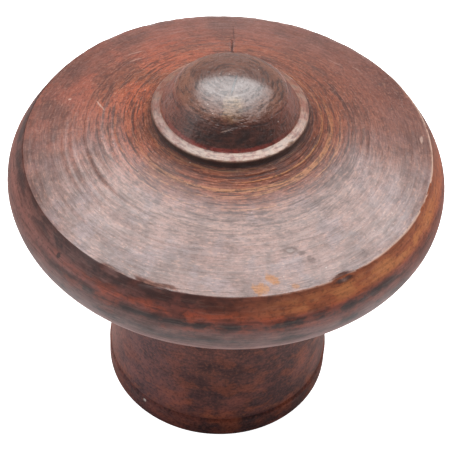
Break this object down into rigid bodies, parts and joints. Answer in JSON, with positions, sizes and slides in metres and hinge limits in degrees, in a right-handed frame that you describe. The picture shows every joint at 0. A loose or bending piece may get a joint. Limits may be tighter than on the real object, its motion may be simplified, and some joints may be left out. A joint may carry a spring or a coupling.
{
  "type": "cupboard knob",
  "caption": "Round turned wooden cupboard knob with a domed centre, a ringed face, a rounded rim and a waisted stem, fixed by a screw from behind.",
  "frame": {"origin": "centre of the foot's flat face, which meets the door, on the turning axis", "axes": "+Z along the turning axis, away from the door towards the dome; -Y towards the picture's camera, so that the worst chip in the arris is front right"},
  "size_m": [0.044, 0.044, 0.0412],
  "materials": {
    "turned_wood": "old red-brown polish, worn and darkened"
  },
  "bodies": {
    "root": {"knob": "turned_wood"}
  },
  "joints": []
}
